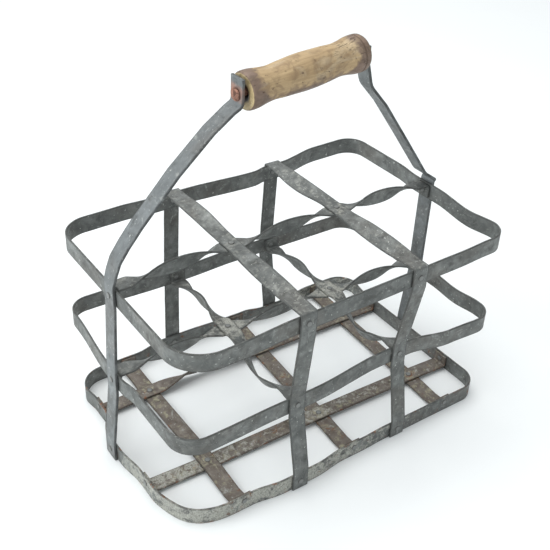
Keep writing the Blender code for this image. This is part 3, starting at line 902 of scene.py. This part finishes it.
def galvanised(name, bright, dull, grime, oxide_colour, rust_amount, oxide_amount):
    """Old hot-dip zinc: mottled, scuffed and speckled, with pale oxide, worn dark edges and rust."""
    s = Shader(name)
    seed = s.attribute("seed")
    edge = s.attribute("edge")
    stain = s.attribute("stain")
    place = s.attribute("strap_place", vector=True)
    broad = s.noise(s.position, 30.0, 3.0, 0.6, 0.4, seed)
    mottle = s.noise(s.position, 120.0, 4.0, 0.6, 0.4, seed)
    fine = s.noise(s.position, 900.0, 4.0, 0.7, 0.0, seed)

    # Zinc: light and dark mottling, warm stretches, spangle, streaks along the strap.
    body = s.mix(s.ramp(mottle, 0.28, 0.74), dull, bright)
    body = s.mix(s.ramp(broad, 0.38, 0.62, 0.0, 0.6), body, dull)
    warm = s.ramp(s.noise(s.position, 22.0, 4.0, 0.6, 0.6, seed), 0.46, 0.66, 0.0, 0.55)
    body = s.mix(warm, body, s.mix(0.55, body, (0.165, 0.138, 0.112)))
    spangle = s.noise(s.cells(s.position, 230.0), 3.0, 0.0)
    body = s.mix(0.16, body, s.mix(spangle, (0.12, 0.12, 0.12), (0.60, 0.61, 0.60)), "OVERLAY")
    streak = s.noise(s.stretched(place, (45.0, 1100.0, 40.0)), 1.0, 4.0, 0.6)
    body = s.mix(s.ramp(streak, 0.58, 0.76, 0.0, 0.28), body, bright)
    body = s.mix(s.ramp(fine, 0.36, 0.64, 0.0, 0.22), body, dull)

    # Scuffs: dark patches, and light ones broken up by the fine grain.
    scuff = s.noise(s.position, 62.0, 7.0, 0.70, 0.8, seed)
    body = s.mix(s.ramp(scuff, 0.46, 0.36, 0.0, 0.42), body, grime)
    light = s.times(s.ramp(scuff, 0.585, 0.68), s.ramp(fine, 0.40, 0.56, 0.30, 0.80))
    body = s.mix(light, body, (0.42, 0.44, 0.42))

    # Oxide: a film near the rivets and on what faces up, a crust where "pale" says.
    upward = s.split(s.node("ShaderNodeNewGeometry").outputs["Normal"], "Z")
    film = s.noise(s.position, 190.0, 5.0, 0.68, 0.5, seed)
    film = s.plus(film, s.times(stain, 0.17), s.ramp(upward, 0.45, 0.95, 0.0, 0.10))
    film = s.plus(film, s.times(s.ramp(broad, 0.45, 0.62), 0.06))
    oxide = s.ramp(film, 0.62 - oxide_amount, 0.80 - oxide_amount, 0.0, 0.75)
    body = s.mix(oxide, body, oxide_colour)
    pale = s.attribute("pale")
    crust = s.plus(s.noise(s.position, 150.0, 6.0, 0.72, 0.6, seed), s.times(pale, 0.21))
    crust = s.times(s.ramp(crust, 0.585, 0.70), s.ramp(pale, 0.05, 0.30), 0.82)
    crust_colour = s.mix(s.ramp(fine, 0.36, 0.64), (0.300, 0.300, 0.265), (0.600, 0.600, 0.540))
    body = s.mix(crust, body, crust_colour)

    # The copper-pink patch, white specks and scratches.
    copper = s.ramp(s.plus(s.attribute("blush"), s.wander(mottle, 0.6)), 0.3, 0.7)
    body = s.mix(s.times(copper, 0.8), body, (0.400, 0.225, 0.170))
    specks = s.ramp(s.noise(s.position, 480.0, 2.0, 0.5, 0.0, seed), 0.675, 0.710)
    body = s.mix(s.times(specks, 0.80), body, (0.52, 0.53, 0.50))
    scratch = s.noise(s.stretched(place, (130.0, 900.0, 40.0)), 1.0, 2.0, 0.5, 1.5)
    body = s.mix(s.times(s.ramp(scratch, 0.66, 0.70), 0.45), body, (0.40, 0.41, 0.40))

    # Dirt on the edges and in patches, then rust over everything.
    patches = s.ramp(s.noise(s.position, 70.0, 5.0, 0.7, 0.8, seed), 0.60, 0.76, 0.0, 0.6)
    dirt = s.most(s.times(edge, s.ramp(mottle, 0.34, 0.62, 0.10, 0.75)), patches)
    body = s.mix(dirt, body, grime)
    eaten = s.plus(s.noise(s.position, 95.0, 6.0, 0.74, 0.6, seed), s.times(stain, 0.03))
    eaten = s.plus(eaten, s.times(edge, 0.05), s.times(s.attribute("rusty"), 0.12))
    rust = s.ramp(eaten, 0.71 - rust_amount, 0.80 - rust_amount)
    rust_colour = s.mix(s.ramp(fine, 0.35, 0.65), (0.090, 0.043, 0.025), (0.300, 0.130, 0.062))
    colour = s.mix(s.times(rust, 0.85), body, rust_colour)

    rough = s.blend(s.ramp(mottle, 0.32, 0.70), 0.60, 0.46)
    rough = s.blend(s.most(dirt, oxide, rust), rough, 0.84)
    metal = s.blend(s.most(s.times(dirt, 0.75), oxide, rust), ZINC_METALLIC, 0.05)
    pits = s.math("SUBTRACT", s.times(fine, 0.35), s.times(s.ramp(eaten, 0.55, 0.78), 0.9))
    pits = s.plus(pits, s.times(mottle, 0.7), s.times(oxide, 0.4))
    normal = s.bump(broad, 0.0022, 0.4, s.bump(pits, 0.00028, 0.5))
    return s.finish(colour, rough, metal, normal)


def rivet_finish():
    """Zinc-dipped rivet heads: the straps' grey, with a painted highlight on the crown and painted shade at
    the rim.
    """
    s = Shader("Rivet steel look")
    fine = s.noise(s.position, 700.0, 4.0, 0.65)
    broad = s.noise(s.position, 260.0, 3.0, 0.6, 0.4)
    # Painted light: each head goes from dark at the rim, painted shade where it meets the strap, to light on
    # the crown, a painted highlight.
    crown = s.times(s.attribute("crown"), s.ramp(broad, 0.25, 0.6, 0.6, 1.0))
    body = s.mix(s.ramp(crown, 0.02, 0.30), (0.120, 0.122, 0.114), (0.235, 0.242, 0.234))
    rust = s.ramp(s.noise(s.position, 330.0, 5.0, 0.7, 0.5), 0.58, 0.72, 0.0, 0.7)
    colour = s.mix(rust, body, (0.150, 0.085, 0.050))
    rough = s.blend(rust, 0.50, 0.80)
    metal = s.blend(rust, 0.5, 0.1)
    normal = s.bump(s.plus(fine, broad), 0.0003, 0.6)
    return s.finish(colour, rough, metal, normal)


def rod_finish():
    """Bare steel rod, scaled and rusted."""
    s = Shader("Rod steel look")
    fine = s.noise(s.position, 800.0, 5.0, 0.7)
    broad = s.noise(s.position, 240.0, 4.0, 0.65, 0.6)
    colour = s.mix(s.ramp(broad, 0.34, 0.62), (0.110, 0.050, 0.032), (0.400, 0.200, 0.140))
    colour = s.mix(s.ramp(fine, 0.55, 0.75, 0.0, 0.6), colour, (0.420, 0.330, 0.290))
    rough = s.blend(s.ramp(fine, 0.3, 0.7), 0.66, 0.88)
    normal = s.bump(s.plus(fine, broad), 0.0005, 0.8)
    return s.finish(colour, rough, 0.15, normal)


def wood_finish():
    """Turned grip worn to bare tan wood in the hand, with dark varnish left at the ends, and its lower front
    side painted dark in the same colour as shade.
    """
    s = Shader("Turned wood look")
    grain = s.noise(s.stretched(s.position, (26.0, 420.0, 420.0)), 1.0, 5.0, 0.62, 0.35)
    fibres = s.noise(s.stretched(s.position, (90.0, 1500.0, 1500.0)), 1.0, 3.0, 0.6)
    blotch = s.noise(s.position, 95.0, 4.0, 0.62, 0.7)
    patch = s.noise(s.stretched(s.position, (0.7, 1.0, 1.0)), 48.0, 4.0, 0.6, 0.8)
    painted_sheen = s.noise(s.stretched(s.position, (30.0, 110.0, 110.0)), 1.0, 4.0, 0.55, 0.4)

    tan = s.mix(s.ramp(grain, 0.26, 0.76), (0.400, 0.272, 0.142), (0.585, 0.425, 0.232))
    tan = s.mix(s.ramp(blotch, 0.42, 0.66, 0.0, 0.85), tan, (0.300, 0.200, 0.108))
    tan = s.mix(s.ramp(patch, 0.50, 0.66, 0.0, 0.7), tan, (0.600, 0.470, 0.295))
    # Lighter streaks along the grip: painted highlight.
    tan = s.mix(s.ramp(painted_sheen, 0.54, 0.70, 0.0, 0.35), tan, (0.640, 0.530, 0.370))
    varnish_and_shade_colour = s.mix(s.ramp(blotch, 0.36, 0.66), (0.120, 0.076, 0.056), (0.225, 0.152, 0.115))
    # Dark towards the ends is varnish left there; dark on the lower front side is painted shade.
    dark_ends_and_shade = s.plus(s.attribute("dark_ends_and_shade"), s.wander(patch, 1.5), s.wander(blotch, 0.7))
    colour = s.mix(s.ramp(dark_ends_and_shade, 0.26, 0.66, 0.0, 0.92), tan, varnish_and_shade_colour)

    # Pits, cracks along the grain, and a dark ring near the right end: painted shade of a turned groove that
    # the shape does not have.
    pits = s.noise(s.stretched(s.position, (0.6, 1.0, 1.0)), 430.0, 3.0, 0.55, 0.5)
    cracks = s.noise(s.stretched(s.position, (14.0, 260.0, 260.0)), 1.0, 3.0, 0.55, 1.2)
    cracks = s.ramp(s.math("ABSOLUTE", s.math("SUBTRACT", cracks, 0.5)), 0.004, 0.016, 1.0, 0.0)
    off_groove = s.math("ABSOLUTE", s.math("SUBTRACT", s.split(s.position, "X"), GROOVE_X))
    groove_shade = s.ramp(off_groove, 0.0003, 0.0009, 0.8, 0.0)
    dark = s.most(s.ramp(pits, 0.645, 0.72), s.times(cracks, s.ramp(patch, 0.52, 0.62)), groove_shade)
    colour = s.mix(s.times(dark, 0.68), colour, (0.085, 0.052, 0.032))

    end_colour = s.mix(s.ramp(grain, 0.34, 0.66), (0.400, 0.300, 0.150), (0.600, 0.470, 0.250))
    colour = s.mix(s.attribute("end_face"), colour, end_colour)
    # The bore's faces are painted near black: painted shade inside the hole.
    colour = s.mix(s.attribute("bore"), colour, (0.020, 0.014, 0.010))
    rough = s.blend(dark, s.blend(s.ramp(dark_ends_and_shade, 0.40, 0.75), 0.58, 0.46), 0.9)
    height = s.math("SUBTRACT", s.plus(s.times(grain, 0.6), s.times(fibres, 0.3)), s.times(dark, 1.3))
    normal = s.bump(s.plus(height, s.times(blotch, 0.8)), 0.0006, 0.7)
    return s.finish(colour, rough, 0.0, normal)


finishes = {
    "strap_steel": galvanised(
        "Galvanised steel look",
        bright=(0.288, 0.302, 0.292),
        dull=(0.130, 0.137, 0.132),
        grime=(0.048, 0.048, 0.044),
        oxide_colour=(0.350, 0.355, 0.325),
        rust_amount=0.01,
        oxide_amount=0.0,
    ),
    "arm_steel": galvanised(
        "Arm steel look",
        bright=(0.290, 0.310, 0.315),
        dull=(0.175, 0.188, 0.190),
        grime=(0.045, 0.046, 0.044),
        oxide_colour=(0.350, 0.360, 0.340),
        rust_amount=-0.02,
        oxide_amount=-0.03,
    ),
    "floor_steel": galvanised(
        "Floor steel look",
        bright=(0.290, 0.262, 0.230),
        dull=(0.145, 0.120, 0.102),
        grime=(0.042, 0.036, 0.027),
        oxide_colour=(0.380, 0.360, 0.255),
        rust_amount=0.125,
        oxide_amount=0.0,
    ),
    "rivet_steel": rivet_finish(),
    "rod_steel": rod_finish(),
    "grip_wood": wood_finish(),
}


def build():
    """Every piece of the carrier, one finished piece for each solid."""
    for level, hoop in HOOPS.items():
        strap(level + "_hoop", hoop_line(hoop), HOOP_WIDTH, STEEL, (0, 0, 1), closed=True)
    for end in ("left", "right"):
        cross_frame(end)
        end_strap(end)
        middle_cross(end)
    long_divider("top", TOP, 82)
    long_divider("middle", MIDDLE, 80)
    for place in FLOOR_X:
        floor_cross(place)
    floor_long("front", 0)
    floor_long("back", 70)
    handle()


def paleness(name, points):
    """Where dry white oxide has settled: the crossings, and the base hoop's front and back right."""
    x, y, z = points.T
    if name == "look_bottom_hoop":
        corner = 0.8 * np.exp(-((np.hypot(x - 0.125, y - 0.095) / 0.05) ** 2))
        return corner + 0.9 * np.clip((0.095 - x) / 0.10, 0, 1) * np.clip((0.02 - y) / 0.05, 0, 1)
    if name == "look_floor_long_front":
        return 0.45 * np.clip((-0.045 - x) / 0.06, 0, 1) + 0.35
    if name.startswith(("look_middle_cross", "look_middle_long")):
        return np.exp(-((np.hypot(np.abs(x) - 0.0545, y) / 0.022) ** 2))
    if name in ("look_cross_frame_right", "look_top_long_divider"):
        return 0.62 * np.exp(-((np.hypot(x - 0.0545, y) / 0.012) ** 2)) * (z > 0.16)
    return np.zeros(len(points))


def blush(name, points):
    """Copper-pink worn patch round the rod's head on the left plate."""
    if name != "look_end_strap_left":
        return np.zeros(len(points))
    y = (points[:, 1] - PLATE_Y["left"]) / 0.0125
    z = (points[:, 2] - AXIS_Z["left"] - 0.0015) / 0.0082
    return np.exp(-(y * y + z * z)) * (points[:, 2] > AXIS_Z["left"] - 0.02)


def wear_strap(mesh, name, points):
    """Stain close to every rivet, then the marks that belong to one strap or crossing."""
    gaps = np.linalg.norm(points[:, None, :] - np.array(rivet_places)[None, :, :], axis=2).min(axis=1)
    give(mesh, "stain", np.clip(np.exp(-(((gaps - 0.0025) / 0.0042) ** 2)), 0, 1))
    give(mesh, "pale", paleness(name, points))
    give(mesh, "blush", blush(name, points))
    give(mesh, "rusty", np.full(len(points), float(name == "look_bottom_hoop")))


def wear_grip(mesh, points, radius):
    """Varnish left towards the ends, painted shade on the lower front side, and the marks of the end faces
    and of the bore, which is painted dark as shade.
    """
    reach = np.abs(points[:, 0]) / GRIP_HALF
    end_faces = reach > 0.999
    reach = np.where(points[:, 0] > 0, reach * 0.92, reach)
    # Painted shade: the lower front side, turned away from the lamps, is made as dark as the varnish.
    below = np.clip(-(points[:, 2] * 0.85 + points[:, 1] * 0.35) / 0.014, -1, 1)
    dark_ends_and_shade = np.clip((reach - 0.60) * 2.6, 0, 1) * 0.8 + np.clip(below * 0.8 - 0.05, 0, 0.75)
    give(mesh, "dark_ends_and_shade", dark_ends_and_shade)
    give(mesh, "end_face", end_faces.astype(np.float32))
    give(mesh, "bore", (radius < GRIP_MOUTH + 0.0002).astype(np.float32))


def wear():
    """Store on each finished piece what its material reads."""
    for made in looks:
        mesh = made.data
        points = np.empty(len(mesh.vertices) * 3, np.float32)
        mesh.vertices.foreach_get("co", points)
        points = points.reshape(-1, 3)
        radius = np.hypot(points[:, 1], points[:, 2])
        if "strap_place" in mesh.attributes:
            wear_strap(mesh, made.name, points)
        elif made.name.startswith("look_rivet"):
            give(mesh, "crown", np.clip(1 - radius / (HEAD * LOW_HEAD * 1.02), 0, 1))
        elif made.name == "look_grip":
            wear_grip(mesh, points, radius)


def add_camera():
    """Three-quarter view from the front left and above."""
    turn = Matrix.Rotation(-0.6202, 3, "Z") @ Matrix.Rotation(0.9968, 3, "X")
    turn = turn @ Matrix.Rotation(0.0424, 3, "Z")
    lens = bpy.data.cameras.new("camera")
    lens.sensor_width = 36
    lens.lens = 58.795
    lens.shift_x = 0.00731
    lens.shift_y = -0.02811
    camera = add("camera", lens)
    camera.matrix_world = Matrix.Translation(CAMERA_PLACE) @ turn.to_4x4()
    bpy.context.scene.camera = camera


def lamp(name, place, aim, size, power, colour):
    """Rectangular soft lamp that faces the point it is aimed at."""
    light = bpy.data.lights.new(name, "AREA")
    light.shape = "RECTANGLE"
    light.size, light.size_y = size
    light.energy = power
    light.color = colour
    made = add(name, light)
    made.location = place
    made.rotation_mode = "QUATERNION"
    made.rotation_quaternion = (Vector(aim) - Vector(place)).to_track_quat("-Z", "Y")


def studio():
    """White floor under a pale sky, a broad top lamp and a weaker cool one from the left."""
    corners = [(x * FLOOR_REACH, y * FLOOR_REACH, 0) for x, y in ((-1, -1), (1, -1), (1, 1), (-1, 1))]
    mesh = bpy.data.meshes.new("studio_floor")
    mesh.from_pydata(corners, [], [(0, 1, 2, 3)])
    floor = add("studio_floor", mesh)
    paper = Shader("Studio floor")
    soft = paper.noise(paper.position, 3.0, 2.0)
    colour = paper.mix(soft, (0.90, 0.925, 0.925), (0.93, 0.95, 0.95))
    mesh.materials.append(paper.finish(colour, 0.75, 0.0, paper.bump(soft, 0.001, 0.05)))

    world = bpy.data.worlds.new("studio")
    bpy.context.scene.world = world
    world.use_nodes = True
    sky = world.node_tree.nodes["Background"]
    sky.inputs["Color"].default_value = (0.93, 0.97, 1.0, 1.0)
    sky.inputs["Strength"].default_value = 0.62
    lamp("top_light", (-0.2, 0.6, 2.3), (0, 0, 0.1), (2.6, 2.6), 42, (1.0, 0.99, 0.97))
    lamp("left_light", (-1.9, 0.35, 0.9), (0, 0, 0.15), (1.4, 1.2), 21, (0.95, 0.98, 1.0))
    bpy.context.scene.view_settings.view_transform = "Standard"


build()
wear()
add_camera()
studio()
